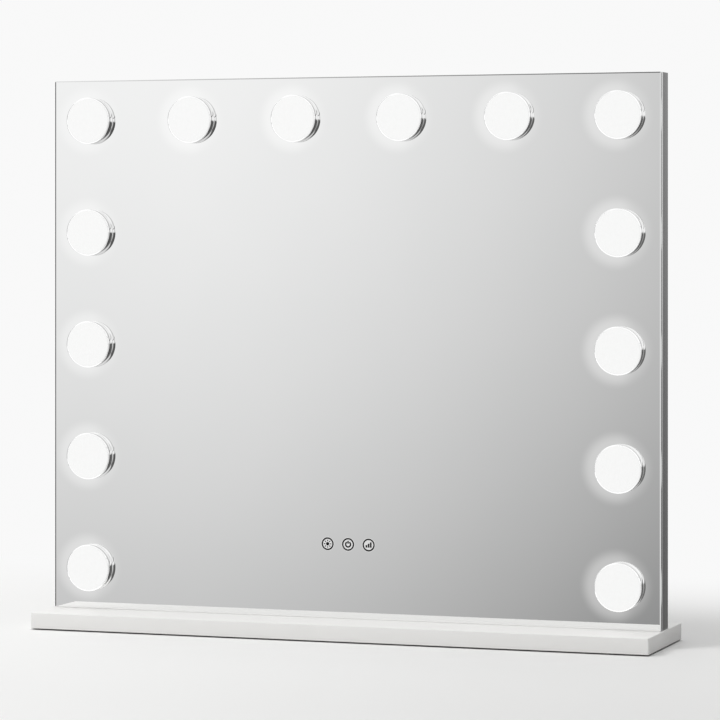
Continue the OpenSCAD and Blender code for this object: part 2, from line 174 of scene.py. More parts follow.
# what mirror, chrome and other gloss see, by direction
# a span is where one part gives way to the next
reflectedSet = {
    "frontDark": 0.44,      # a step to the left of straight ahead
    "frontBright": 0.762,   # and further left
    "frontSpan": (0.235, 0.41), "frontCurve": 1.5, "narrowest": 0.15,
    "liftFrom": 0.051, "liftMost": 0.13,
    "rise": 2.3,            # how fast the front brightens upwards
    "bend": 7.0,            # and how that eases off
    "glow": 0.22, "glowSpan": (0.06, 0.14),
    "floorSeen": 0.72, "frontFloor": (0.125, 0.18), "sideFloor": (0.40, 0.50),
    "sideSpan": (0.05, 0.21),
    "sideDark": 0.075,      # the right side, under its bright upper half
    "sideBright": 0.97, "horizon": (-0.025, 0.03),
    "bars": [(0.135, 0.022, 0.75), (0.27, 0.08, 0.12)],  # darker bars: height, half width, depth
    "barSoft": 0.4,
    "behind": 0.56, "behindFrom": 0.02, "behindRise": 3.0, "behindLeast": 0.2,
    "behindSpan": (0.0, 0.3),
    "farRight": 0.72, "farRightSpan": (0.45, 0.75),
    "farLeft": 0.12, "farLeftSpan": (0.6, 0.85),
    "overhead": 0.38, "overheadSpan": (0.6, 0.85),
    "overheadLeft": 0.52, "overheadSide": (0.23, 0.42),
    "most": 0.98,
}


def reflectedRoom(x, y, z, use):
    away = abs(y)
    left = (0 - x) / away.math("MAXIMUM", away, use["narrowest"])
    step = (1 - left.smooth(*use["frontSpan"], "LINEAR")) ** use["frontCurve"]
    lift = z + use["liftFrom"]
    lift = lift.math("MINIMUM", lift, use["liftMost"])
    front = use["frontBright"] - step * (use["frontBright"] - use["frontDark"])
    front = front + lift * (use["rise"] - lift * use["bend"])
    low = (0 - z).smooth(*use["frontFloor"])
    front = front * (1 - low) + low * use["floorSeen"] + z.smooth(*use["glowSpan"]) * use["glow"]
    side = z.smooth(*use["horizon"]) * (use["sideBright"] - use["sideDark"]) + use["sideDark"]
    for height, half, depth in use["bars"]:
        bar = 1 - abs(z - height).smooth(half * use["barSoft"], half)
        side = side * (1 - bar * depth)
    low = (0 - z).smooth(*use["sideFloor"])
    side = side * (1 - low) + low * use["floorSeen"]
    toSide = 1 - left.smooth(*use["sideSpan"])
    level = front * (1 - toSide) + side * toSide
    rear = use["behind"] + (z - use["behindFrom"]) * use["behindRise"]
    rear = rear.math("MAXIMUM", rear, use["behindLeast"])
    above = use["overhead"] + (0 - x).smooth(*use["overheadSide"], "LINEAR") * use["overheadLeft"]
    for part, share in ((rear, y.smooth(*use["behindSpan"])),
                        (use["farRight"], x.smooth(*use["farRightSpan"])),
                        (use["farLeft"], (0 - x).smooth(*use["farLeftSpan"])),
                        (above, z.smooth(*use["overheadSpan"]))):
        level = level * (1 - share) + part * share
    return level.math("MINIMUM", level, use["most"])


roomSet = {
    "backdrop": 0.945,      # what the camera sees behind the object
    "skyLow": 0.10,         # light on matt surfaces from level with the object
    "skyHigh": 1.19,        # and from overhead
    "skySpan": (-0.02, 0.9),
    "rightShade": 0.93,     # how much less of it comes from the right and the rear
    "shadeAim": (0.9, 0.35), "shadeSpan": (-0.1, 0.7), "shadeTop": (0.5, 1.0),
}


def addRoom(use, reflected):
    world = bpy.data.worlds.new("studio")
    bpy.context.scene.world = world
    world.use_nodes = True
    tree = world.node_tree
    start = Shade(tree)
    x, y, z = start.node("TexCoord", out="Generated").axes()
    sky = z.smooth(*use["skySpan"]) * (use["skyHigh"] - use["skyLow"]) + use["skyLow"]
    shade = (x * use["shadeAim"][0] + y * use["shadeAim"][1]).smooth(*use["shadeSpan"])
    shade = shade * (1 - z.smooth(*use["shadeTop"]))
    sky = sky * (1 - shade * use["rightShade"])
    isCamera = start.node("LightPath", out="Is Camera Ray")
    isGlossy = start.node("LightPath", out="Is Glossy Ray")
    strength = isGlossy * (reflectedRoom(x, y, z, reflected) - sky) + sky
    strength = isCamera * (use["backdrop"] - strength) + strength
    background = tree.nodes["Background"]
    background.inputs["Color"].default_value = grey(1)
    tree.links.new(strength.socket, background.inputs["Strength"])


lightSet = {
    "stand": (-3.2, -2.5, 5.2), "aim": (0, 0, 0.2), "size": 2.4, "power": 135,
    "tint": (1, 0.998, 0.992),
}


def addLight(use):
    data = bpy.data.lights.new("key", "AREA")
    data.size = use["size"]
    data.energy = use["power"]
    data.color = use["tint"]
    light = bpy.data.objects.new("key", data)
    light.location = use["stand"]
    aim = Vector(use["aim"]) - light.location
    light.rotation_euler = aim.to_track_quat("-Z", "Y").to_euler()
    light.visible_glossy = False
    bpy.context.scene.collection.objects.link(light)


floorSet = {
    "reach": 40.0, "cuts": 8, "drop": 0.1 * mm,
    "albedo": 0.905, "tint": colour(1, 1, 0.993), "roughness": 0.7, "gloss": 0.2,
    "speckle": 0.012, "speckleScale": 900,
    "frontShade": 0.05, "frontSpan": (0.1, 0.5),     # how much painted shade darkens it towards the viewer
    "rightShade": 0.11, "rightSpan": (-0.15, 0.5),   # and painted shade to the right
    "middle": -0.32, "stretch": 1.7, "fade": (0.52, 0.95),
}


def addFloor(use, backdrop):
    # a pale floor that fades into the backdrop far from the object, with painted shade towards the
    # viewer and to the right
    cuts = use["cuts"]
    bpy.ops.mesh.primitive_grid_add(x_subdivisions=cuts, y_subdivisions=cuts, size=use["reach"])
    floor = bpy.context.object
    floor.name = "floor"
    floor.location.z = -use["drop"]
    material = bpy.data.materials.new("paleFloor")
    material.use_nodes = True
    tree = material.node_tree
    shader = tree.nodes["Principled BSDF"]
    shader.inputs["Roughness"].default_value = use["roughness"]
    shader.inputs["Specular IOR Level"].default_value = use["gloss"]
    place = Shade(tree).node("TexCoord", out="Object")
    x, y, z = place.axes()
    # painted shade: the floor's colour darkens towards the viewer and to the right
    dim = (0 - y).smooth(*use["frontSpan"]) * use["frontShade"]
    dim = dim + x.smooth(*use["rightSpan"]) * use["rightShade"]
    tone = (1 - dim - grain(place, use["speckleScale"]) * use["speckle"]) * use["albedo"]
    tree.links.new(tone.blend(grey(0), use["tint"]).socket, shader.inputs["Base Color"])
    x = x / use["stretch"]
    y = y - use["middle"]
    far = ((x * x + y * y) ** 0.5).smooth(*use["fade"])
    haze = place.node("Emission", None, {"Color": grey(backdrop), "Strength": 1.0})
    mixed = place.node("MixShader", None, {0: far, 1: Shade(tree, shader.outputs[0]), 2: haze})
    tree.links.new(mixed.socket, tree.nodes["Material Output"].inputs["Surface"])
    floor.data.materials.append(material)
    floor.visible_glossy = False


addCamera(cameraSet)
addRoom(roomSet, reflectedSet)
addLight(lightSet)
addFloor(floorSet, roomSet["backdrop"])
bpy.context.scene.view_settings.view_transform = "Standard"
print("studio: camera, room, light and floor")


def boxMiddle(node):
    low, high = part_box(node)
    return (low + high) / 2


def halfWidth(node):
    low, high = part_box(node)
    return (high.x - low.x) / 2


# places that the CAD frame gives
glassLow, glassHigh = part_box("mirror_glass")
mirrorY = glassLow.y
midX = (glassLow.x + glassHigh.x) / 2
midZ = (glassLow.z + glassHigh.z) / 2
glassW = glassHigh.x - glassLow.x
glassH = glassHigh.z - glassLow.z
lampNames = sorted((name for name in nodes if name.startswith("lamp_cap_")),
                   key=lambda name: int(name.split("_")[-1]))
lampSpots = [boxMiddle(name) for name in lampNames]
rimNames = [name.replace("cap", "rim") for name in lampNames]
lampR = halfWidth(rimNames[0])
capR = halfWidth(lampNames[0])
topZ = max(spot.z for spot in lampSpots)
edgeX = max(spot.x for spot in lampSpots)
topXs = sorted(spot.x for spot in lampSpots if spot.z > topZ - mm)
sideZs = sorted(spot.z for spot in lampSpots if spot.x > edgeX - mm)
pitchX = topXs[1] - topXs[0]
pitchZ = sideZs[1] - sideZs[0]


def toFront(base):
    # places a turned or cut shape so that its height runs out from the mirror's face
    return lambda u, v, h: Vector((base.x + u, base.y - h, base.z + v))


def toBack(base):
    return lambda u, v, h: Vector((base.x - u, base.y + h, base.z + v))


def toTop(base):
    return lambda u, v, h: Vector((base.x + u, base.y + v, base.z + h))


def onCircle(radius, angle):
    return radius * math.cos(angle), radius * math.sin(angle)


def roundLoop(radius, count=64):
    return [onCircle(radius, 2 * math.pi * k / count) for k in range(count)]


def turnedLoop(points, angle):
    cos = math.cos(angle)
    sin = math.sin(angle)
    return [(u * cos - v * sin, u * sin + v * cos) for u, v in points]


def shiftedLoop(points, across, up):
    return [(u + across, v + up) for u, v in points]


def boxLoop(width, height, corner, inset=0, steps=6):
    # rounded rectangle, its corners kept concentric as it is inset
    radius = max(corner - inset, 0.02 * mm)
    halfW = width / 2 - inset - radius
    halfH = height / 2 - inset - radius
    points = []
    for turn, (sx, sy) in enumerate([(1, 1), (-1, 1), (-1, -1), (1, -1)]):
        for k in range(steps + 1):
            u, v = onCircle(radius, math.pi / 2 * (turn + k / steps))
            points.append((sx * halfW + u, sy * halfH + v))
    return points


def roundedEdge(radius, steps=4):
    # (inset, height) pairs over a rounded edge, from the face round to the side
    angles = [math.pi / 2 * k / steps for k in range(steps + 1)]
    return [(radius * (1 - math.sin(angle)), -radius * (1 - math.cos(angle))) for angle in angles]


def newPiece(name, mesh, finishes, smoothAngle):
    for finish in finishes:
        mesh.materials.append(finish)
    if smoothAngle:
        mesh.shade_smooth()
        mesh.set_sharp_from_angle(angle=math.radians(smoothAngle))
    piece = bpy.data.objects.new(name, mesh)
    bpy.context.scene.collection.objects.link(piece)
    return piece


def fromBuilder(name, builder, finishes, smoothAngle=30):
    bmesh.ops.recalc_face_normals(builder, faces=builder.faces)
    mesh = bpy.data.meshes.new(name)
    builder.to_mesh(mesh)
    builder.free()
    return newPiece(name, mesh, finishes, smoothAngle)


def addRings(builder, rings, finishAt=None):
    # joins equal loops of points with quads; finishAt gives a finish number for each band
    made = [[builder.verts.new(point) for point in ring] for ring in rings]
    for band, (first, second) in enumerate(zip(made, made[1:])):
        count = len(first)
        for k in range(count):
            after = (k + 1) % count
            face = builder.faces.new([first[k], first[after], second[after], second[k]])
            if finishAt:
                face.material_index = finishAt[band]
    return made


def loopEdges(builder, ring):
    count = len(ring)
    found = []
    for k in range(count):
        edge = builder.edges.get((ring[k], ring[(k + 1) % count]))
        found.append(edge or builder.edges.new((ring[k], ring[(k + 1) % count])))
    return found


def fillFlat(builder, rings, normal, finish=0):
    # fills between an outer ring and the rings of its holes
    edges = [edge for ring in rings for edge in loopEdges(builder, ring)]
    made = bmesh.ops.triangle_fill(builder, edges=edges, normal=normal, use_beauty=True)
    for element in made["geom"]:
        if isinstance(element, bmesh.types.BMFace):
            element.material_index = finish


def cutShape(builder, place, outline, levels, holes=(), finishAt=None, capFinish=(0, 0)):
    # a closed solid from stacked outlines; outline(inset) gives points, levels are (inset, height)
    # holes are (outline, levels, blind), from the same first height
    def ringsOf(shape, depths):
        return [[place(u, v, height) for u, v in shape(inset)] for inset, height in depths]

    outer = addRings(builder, ringsOf(outline, levels), finishAt)
    firstRings = [outer[0]]
    lastRings = [outer[-1]]
    up = place(0, 0, 1) - place(0, 0, 0)
    for shape, depths, blind in holes:
        inner = addRings(builder, ringsOf(shape, depths))
        firstRings.append(inner[0])
        if blind:
            fillFlat(builder, [inner[-1]], up)
        else:
            lastRings.append(inner[-1])
    fillFlat(builder, firstRings, up, capFinish[0])
    fillFlat(builder, lastRings, -up, capFinish[1])


def turnShape(builder, place, profile, count=64):
    # turns a section about the height axis; a section that starts and ends on the axis gets poles
    onAxis = profile[0][0] == 0
    rims = profile[1:-1] if onAxis else profile
    rings = [[place(u, v, height) for u, v in roundLoop(radius, count)] for radius, height in rims]
    made = addRings(builder, rings)
    if onAxis:
        for ring, end in ((made[0], profile[0]), (made[-1], profile[-1])):
            pole = builder.verts.new(place(0, 0, end[1]))
            for k in range(count):
                builder.faces.new([ring[k], ring[(k + 1) % count], pole])
    else:
        for k in range(count):
            after = (k + 1) % count
            builder.faces.new([made[-1][k], made[-1][after], made[0][after], made[0][k]])


def settle(piece, slot, *replaced):
    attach(piece, "root")
    if replaced:
        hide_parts(*replaced)


# glow that the lamps throw on the glass round them
glowSet = {
    "shift": 3 * mm,       # the halo sits round the lit face, to the left of the lamp's foot
    "span": (1 * mm, 14 * mm),
    "least": 0.035, "toRight": 0.075, "toFoot": 0.085,
    "rightDim": 0.45, "rightSpan": (0.1, 0.85),      # weaker on the right of a lamp
    "edgeSpan": (16 * mm, 21 * mm), "edgeStrength": 0.5,
    "piped": 0.12,         # painted glow of the cut edge, growing towards the top
}


def lampOffset(place, shift):
    # distance along x from the nearest lamp, and distance in the mirror plane from its edge
    x, y, z = place.axes()
    x = x + shift
    beside = (x / pitchX).math("FRACT", x / pitchX) - 0.5
    beside = beside * pitchX
    above = z - topZ
    top = (beside * beside + above * above) ** 0.5
    across = abs(x) - edgeX
    rows = (z - topZ) / pitchZ + 0.5
    level = abs(rows.math("FRACT", rows) - 0.5) * pitchZ
    side = (across * across + level * level) ** 0.5
    return beside, top.math("MINIMUM", top, side) - lampR


def haloGlow(place, use):
    # light round each lit face, weaker where the mirror is bright already
    x, y, z = place.axes()
    beside, distance = lampOffset(place, use["shift"])
    toRight = (x - glassLow.x) * (use["toRight"] / glassW)
    toFoot = (glassHigh.z - z) * (use["toFoot"] / glassH)
    low, high = use["rightSpan"]
    dim = 1 - beside.smooth(lampR * low, lampR * high) * use["rightDim"]
    return (1 - distance.smooth(*use["span"])) * (toRight + toFoot + use["least"]) * dim


def edgeGlow(place, use):
    x, y, z = place.axes()
    distance = lampOffset(place, 0)[1]
    near = (1 - distance.smooth(*use["edgeSpan"])) * use["edgeStrength"]
    # painted glow: near each lamp, and growing towards the top of the edge
    return near.math("MAXIMUM", near, (z - glassLow.z) * (use["piped"] / glassH))


def mirrorSilver(use):
    # bright silver behind float glass, with a trace of haze, a painted reflection of the left bevel
    # as a dark line along that edge, and the painted glow of the lamps
    def vary(place):
        haze = grain(place, 9, 3)
        tone = haze.smooth(0.2, 0.8).blend(colour(0.945, 0.95, 0.948), colour(0.96, 0.962, 0.96))
        # painted reflection: a dark line in the silver along its left edge, standing for the bevel's
        # image
        line = 1 - (place.axes()[0] - glassLow.x).smooth(*use["paintedEdgeLine"])
        tone = line.blend(tone, grey(0.3))
        smear = grain(place, 22, 4, (1, 1, 0.35)).smooth(0.55, 0.85)
        glow = haloGlow(place, glowSet)
        return {"Base Color": tone, "Roughness": smear * 0.012 + 0.002,
                "Emission Color": glow.blend(grey(0), colour(1.0, 0.995, 0.985))}
    return makeFinish("mirrorSilver", {"Metallic": 1.0, "Emission Strength": 1.0}, vary)


def groundBevel(use):
    # painted reflection and shade on the bevel: bright, but dark down the left side and darker to
    # the right along the top, with a faint painted glow along the foot
    def vary(place):
        streaks = grain(place, 900, 2, (1, 1, 0.02))
        x, y, z = place.node("TexCoord", out="Normal").axes()
        # painted reflection: dark where the bevel faces left
        dark = (0 - x).smooth(*use["facing"])
        tone = dark.blend(grey(0.94), grey(0.06))
        # painted shade along the top bevel, darker to the right
        along = (place.axes()[0] - glassLow.x) * (use["paintedTopShade"] / glassW) + use["topLeast"]
        tone = (z.smooth(*use["facing"]) * along).blend(tone, grey(0))
        # painted glow on the bevel's foot
        foot = (0 - z).smooth(*use["facing"])
        return {"Base Color": tone, "Roughness": streaks * 0.05 + 0.03,
                "Emission Color": foot.blend(grey(0), grey(0.1))}
    return makeFinish("groundBevel", {"Metallic": 1.0, "Emission Strength": 1.0}, vary)


def polishedEdge():
    # the cut edge of the glass: dark grey green, with a painted glow of light piped from a lamp, and
    # more towards the top
    def vary(place):
        bands = grain(place, 60, 2, (1, 8, 0.4))
        tone = bands.blend(colour(0.022, 0.028, 0.026), colour(0.06, 0.068, 0.064))
        glow = edgeGlow(place, glowSet)
        return {"Base Color": tone, "Roughness": bands * 0.1 + 0.1,
                "Emission Color": glow.blend(grey(0), colour(0.97, 1.0, 0.985))}
    fixed = {"Specular IOR Level": 0.15, "Emission Strength": 1.0}
    return makeFinish("polishedEdge", fixed, vary)


def backingPaint():
    def vary(place):
        mottle = grain(place, 400, 3)
        return {"Base Color": mottle.blend(grey(0.20), grey(0.26)), "Roughness": mottle * 0.2 + 0.5,
                "Normal": relief(mottle, 0.2, 0.05 * mm)}
    return makeFinish("backingPaint", {}, vary)


mirrorSet = {
    "corner": 1.2 * mm, "bevel": 1.0 * mm, "arris": 0.35 * mm,
    "holeR": 9.5 * mm, "holeLip": 0.3 * mm,
    "paintedEdgeLine": (1.4 * mm, 1.6 * mm),   # where the painted reflection of the left bevel in the silver ends
    "facing": (0.3, 0.65),             # how far a bevel's normal turns before its painted tone shows
    # painted shade along the top bevel: how much it darkens to the right, and its least
    "paintedTopShade": 0.55, "topLeast": 0.1,
}


def buildMirror(use):
    thick = glassHigh.y - glassLow.y
    place = toFront(Vector((midX, mirrorY, midZ)))

    def outline(inset):
        return boxLoop(glassW, glassH, use["corner"], inset)

    bevel = use["bevel"]
    arris = use["arris"]
    lip = use["holeLip"]
    levels = [(bevel, 0), (0, -bevel), (0, arris - thick), (arris, -thick)]
    bore = [(lip, 0), (0, -lip), (0, lip - thick), (lip, -thick)]
    holes = []
    for spot in lampSpots:
        def hole(inset, spot=spot):
            loop = roundLoop(use["holeR"] + inset, 48)
            return shiftedLoop(loop, spot.x - midX, spot.z - midZ)
        holes.append((hole, bore, False))
    builder = bmesh.new()
    cutShape(builder, place, outline, levels, holes, finishAt=[1, 2, 1], capFinish=(0, 3))
    finishes = [mirrorSilver(use), groundBevel(use), polishedEdge(), backingPaint()]
    settle(fromBuilder("mirrorGlass", builder, finishes, 0), "mirror", "mirror_glass")


buildMirror(mirrorSet)
print("mirror: bevelled glass with", len(lampSpots), "lamp holes")


def brightChrome(high):
    # polished cup; behind the face a band that is satin and also darkened as a painted reflection;
    # the lip has a painted glow of light from the cap
    def vary(place):
        x, y, z = place.axes()
        height = (0 - y) / high
        band = height.smooth(0.50, 0.62) * (1 - height.smooth(0.86, 0.93))
        haze = grain(place, 120, 3)
        lines = grain(place, 1500, 3, (0.05, 1, 0.05))
        # painted reflection: the band darkens the chrome's colour as well as roughening it
        tone = (band * 0.6 + lines.smooth(0.35, 0.7) * 0.2).blend(grey(0.97), grey(0.36))
        # painted glow: the lip shines with light from the cap
        lip = height.smooth(0.93, 0.96)
        return {"Base Color": tone, "Roughness": haze * 0.03 + band * 0.08 + 0.02,
                "Emission Color": lip.blend(grey(0), grey(0.3)),
                "Normal": relief(grain(place, 900, 2), 0.03, 0.02 * mm)}
    return makeFinish("brightChrome", {"Metallic": 1.0, "Emission Strength": 1.0}, vary)


def opalDiffuser():
    # evenly lit milky plastic, a little dimmer round its rounded edge
    def vary(place):
        x, y, z = place.axes()
        radius = (x * x + z * z) ** 0.5 / capR
        edge = radius.smooth(0.955, 1.0)
        cloud = grain(place, 260, 2)
        return {"Base Color": cloud.blend(grey(0.14), grey(0.18)), "Roughness": cloud * 0.1 + 0.32,
                "Emission Color": edge.blend(colour(0.79, 0.792, 0.788), grey(0.73))}
    return makeFinish("opalDiffuser", {"Emission Strength": 1.0, "Specular IOR Level": 0.3}, vary)


lampSet = {
    "wall": 1.0 * mm, "floor": 1.5 * mm, "soft": 0.35 * mm,
    "neckR": 9.0 * mm, "neckBore": 6.5 * mm, "neckLength": 13 * mm,
    "capT": 2.5 * mm, "capRound": 0.55 * mm, "dome": 0.15 * mm, "skirt": 1.2 * mm,
    "around": 96,
}


def rimProfile(use, high):
    # closed section of the cup and neck, (radius, height above the glass), with a rolled front lip
    soft = use["soft"]
    half = use["wall"] / 2
    neckR = use["neckR"]
    foot = -use["neckLength"]
    roll = [onCircle(half, math.pi * k / 6) for k in range(7)]
    lip = shiftedLoop(roll, lampR - half, high - half)
    return [(use["neckBore"], foot), (neckR - soft, foot), (neckR, soft + foot), (neckR, 0),
            (lampR - soft, 0), (lampR - soft * 0.3, soft * 0.3), (lampR, soft), (lampR, high * 0.5),
            *lip, (lampR - use["wall"], use["floor"]), (use["neckBore"], use["floor"])]


def capProfile(use, high):
    # domed face with a rounded edge, and the skirt that stands on the floor of the cup
    inner = capR - use["skirt"]
    low = high - use["capT"]
    face = [(capR * share, high - use["dome"] * share ** 2) for share in (0, 0.25, 0.5, 0.75, 0.92)]
    edge = [(capR - inset, high - use["dome"] + height)
            for inset, height in roundedEdge(use["capRound"], 5)]
    return face + edge + [(capR, use["floor"]), (inner, use["floor"]), (inner, low), (0, low)]


def buildLamps(use):
    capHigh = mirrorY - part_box(lampNames[0])[0].y
    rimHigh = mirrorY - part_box(rimNames[0])[0].y
    kinds = (("Rim", "lamp_chrome", rimProfile(use, rimHigh), brightChrome(rimHigh)),
             ("Cap", "opal_lens", capProfile(use, capHigh), opalDiffuser()))
    patterns = []
    for kind, slot, profile, finish in kinds:
        builder = bmesh.new()
        turnShape(builder, toFront(Vector()), profile, use["around"])
        patterns.append((kind, slot, fromBuilder("lamp" + kind, builder, [finish])))
    for name, spot in zip(lampNames, lampSpots):
        number = name.split("_")[-1]
        for kind, slot, pattern in patterns:
            piece = bpy.data.objects.new("lamp" + kind + number, pattern.data)
            piece.location = (spot.x, mirrorY, spot.z)
            bpy.context.scene.collection.objects.link(piece)
            settle(piece, slot, "lamp_" + kind.lower() + "_" + number)
    for kind, slot, pattern in patterns:
        bpy.data.objects.remove(pattern)


buildLamps(lampSet)
print("lamps: chrome cups and opal caps")


def iconInk():
    def vary(place):
        dots = grain(place, 4000, 2)
        return {"Base Color": dots.blend(grey(0.006), grey(0.016)), "Roughness": dots * 0.2 + 0.6}
    return makeFinish("iconInk", {"Specular IOR Level": 0.1}, vary)


def frostedWindow():
    # etched spot that the light behind the glass shows through
    def vary(place):
        frost = grain(place, 2500, 3)
        return {"Base Color": frost.blend(grey(0.48), grey(0.54)), "Roughness": frost * 0.2 + 0.4,
                "Emission Color": frost.blend(grey(0.26), grey(0.32))}
    return makeFinish("frostedWindow", {"Emission Strength": 1.0}, vary)


iconSet = {
    "ink": 0.09 * mm, "frost": 0.04 * mm, "edge": 0.03 * mm,   # heights above the glass
    "line": 1.4 * mm, "window": 0.5 * mm,
}

# the marks, in shares of the icon's width
sunSet = {
    "core": 0.135, "rays": 8, "rayLong": 0.11, "rayWide": 0.085, "rayAt": 0.255, "corner": 0.04,
}
standbySet = {
    "ringR": 0.2, "line": 0.12, "gap": 90, "barHigh": 0.24, "barAt": 0.17, "corner": 0.058,
}
barsSet = {
    "count": 3, "wide": 0.135, "pitch": 0.18, "least": 0.2, "step": 0.11, "foot": 0.2,
    "corner": 0.02,
}


def arcBand(radius, width, start, end, steps=24):
    # outline of a band along an arc, with round ends
    points = []
    half = width / 2
    for sign in (1, -1):
        first, last = (start, end) if sign > 0 else (end, start)
        for k in range(steps + 1):
            points.append(onCircle(radius + sign * half, first + (last - first) * k / steps))
        across, up = onCircle(radius, last)
        outward = last + (0 if sign > 0 else math.pi)
        cap = [onCircle(half, outward + math.pi * k / 6) for k in range(1, 6)]
        points += shiftedLoop(cap, across, up)
    return points


def sunShapes(size, use):
    ray = boxLoop(size * use["rayLong"], size * use["rayWide"], size * use["corner"])
    ray = shiftedLoop(ray, size * use["rayAt"], 0)
    turns = [2 * math.pi * k / use["rays"] for k in range(use["rays"])]
    return [roundLoop(size * use["core"], 24)] + [turnedLoop(ray, turn) for turn in turns]


def standbyShapes(size, use):
    line = size * use["line"]
    start = math.radians(90 + use["gap"] / 2)
    end = math.radians(450 - use["gap"] / 2)
    bar = boxLoop(line, size * use["barHigh"], size * use["corner"])
    ring = arcBand(size * use["ringR"], line, start, end, 32)
    return [ring, shiftedLoop(bar, 0, size * use["barAt"])]


def barShapes(size, use):
    shapes = []
    for k in range(use["count"]):
        height = size * (use["least"] + use["step"] * k)
        bar = boxLoop(size * use["wide"], height, size * use["corner"])
        up = height / 2 - size * use["foot"]
        shapes.append(shiftedLoop(bar, (k - 1) * size * use["pitch"], up))
    return shapes


def buildIcon(kind, shapes, ink, frost, use):
    node = "touch_icon_" + kind
    low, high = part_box(node)
    middle = (low + high) / 2
    size = high.x - low.x
    place = toFront(Vector((middle.x, mirrorY, middle.z)))
    edge = use["edge"]

    def disc(inset):
        return roundLoop(size / 2 - inset)

    def opening(inset):
        return roundLoop(size / 2 - use["line"] + inset)

    def spot(inset):
        return roundLoop(size / 2 + use["window"] - inset)

    builder = bmesh.new()
    levels = [(edge, use["ink"]), (0, use["ink"] - edge), (0, use["frost"])]
    cutShape(builder, place, disc, levels, [(opening, levels, False)])
    for points in shapes(size):
        cutShape(builder, place, lambda inset: points, [(0, use["ink"]), (0, use["frost"])])
    settle(fromBuilder("iconPrint" + kind.capitalize(), builder, [ink], 0), "icon_print", node)
    builder = bmesh.new()
    cutShape(builder, place, spot, [(edge, use["frost"]), (0, 0.2 * use["frost"]), (0, 0)])
    settle(fromBuilder("iconWindow" + kind.capitalize(), builder, [frost], 0), "icon_print")


inkFinish = iconInk()
frostFinish = frostedWindow()
for kind, shapes, marks in (("mode", sunShapes, sunSet), ("power", standbyShapes, standbySet),
                            ("brightness", barShapes, barsSet)):
    buildIcon(kind, lambda size: shapes(size, marks), inkFinish, frostFinish, iconSet)
print("touch icons: sun, standby and bars")


# millimetres
railSet = {
    "wall": 1.6, "flange": 12.0, "rearFlange": 10.0, "sheet": 1.0, "soft": 0.25, "lip": 0.5,
    "grooves": (3.3, 9.0), "grooveW": 0.8, "grooveD": 0.4, "grooveSlope": 0.12,
    "paintedHighlightTo": (7.2, 7.4),        # how far behind the mirror face the painted highlight on the front reaches
    "paintedHighlightSpan": (0.10, 0.38),    # the painted highlight dims towards the table, between these heights in metres
}


def satinAluminium(name, factors, use):
    # anodised extrusion: fine lines along its length, with a painted highlight on the front lip that
    # dims towards the table
    def vary(place):
        lines = grain(place, 2600, 3, factors)
        broad = grain(place, 300, 2, factors)
        x, y, z = place.axes()
        behind = (y - mirrorY) / mm
        # painted highlight: the front lip is lighter, less so towards the table
        lip = 1 - behind.smooth(*use["paintedHighlightTo"])
        tone = (lines * 0.5 + broad * 0.5).blend(grey(0.18), grey(0.36))
        tone = lip.blend(tone, z.smooth(*use["paintedHighlightSpan"]).blend(grey(0.58), grey(0.95)))
        roughness = (1 - lip) * 0.2 + 0.1 + lines * 0.08
        return {"Base Color": tone, "Roughness": roughness,
                "Normal": relief(lines, 0.12, 0.02 * mm)}
    return makeFinish(name, {"Metallic": 1.0}, vary)


def railSection(use, depth):
    # closed section in millimetres, (distance in from the outer face, depth behind the tape)
    soft = use["soft"]
    wall = use["wall"]
    deep = use["grooveD"]
    slope = use["grooveSlope"]
    points = [(wall, 0), (use["lip"], 0), (use["lip"] * 0.3, use["lip"] * 0.3), (0, use["lip"])]
    for at in use["grooves"]:
        far = at + use["grooveW"]
        points += [(0, at), (deep, at + slope), (deep, far - slope), (0, far)]
    rear = depth - use["sheet"]
    points += [(0, depth - soft), (soft * 0.3, depth - soft * 0.3), (soft, depth),
               (wall - soft, depth), (wall, depth - soft), (wall, rear), (use["rearFlange"], rear),
               (use["rearFlange"], rear - wall), (wall, rear - wall), (wall, wall),
               (use["flange"], wall), (use["flange"], 0)]
    return points


def buildRail(side, length, span, along, inward, finish, use):
    # one mitred rail; along and inward are directions in the mirror plane
    low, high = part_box("frame_" + side)
    section = railSection(use, (high.y - low.y) / mm)
    centre = Vector((midX, low.y, midZ)) - inward * span / 2
    backwards = Vector((0, mm, 0))
    ends = []
    for sign in (-1, 1):
        ring = []
        for inset, depth in section:
            across = along * sign * (length / 2 - inset * mm)
            ring.append(centre + across + inward * inset * mm + backwards * depth)
        ends.append(ring)
    builder = bmesh.new()
    for ring in addRings(builder, ends):
        fillFlat(builder, [ring], (ring[0].co - ring[1].co).cross(along))
    rail = fromBuilder("frame" + side.capitalize(), builder, [finish], 20)
    settle(rail, "frame_aluminium", "frame_" + side)


upright = satinAluminium("satinUpright", (1, 1, 0.012), railSet)
level = satinAluminium("satinLevel", (0.012, 1, 1), railSet)
acrossX = Vector((1, 0, 0))
upZ = Vector((0, 0, 1))
buildRail("bottom", glassW, glassH, acrossX, upZ, level, railSet)
buildRail("top", glassW, glassH, acrossX, -upZ, level, railSet)
buildRail("left", glassH, glassW, upZ, acrossX, upright, railSet)
buildRail("right", glassH, glassW, upZ, -acrossX, upright, railSet)
print("frame: four mitred rails")


def satinLacquer():
    # sprayed white lacquer: faint orange peel, softly varying sheen
    def vary(place):
        peel = grain(place, 420, 2)
        cloud = grain(place, 14, 3)
        tone = cloud.blend(colour(0.885, 0.88, 0.865), colour(0.905, 0.90, 0.887))
        return {"Base Color": tone, "Roughness": cloud * 0.08 + 0.36 + peel * 0.05,
                "Normal": relief(peel, 0.10, 0.05 * mm)}
    return makeFinish("satinLacquer", {"Specular IOR Level": 0.4}, vary)


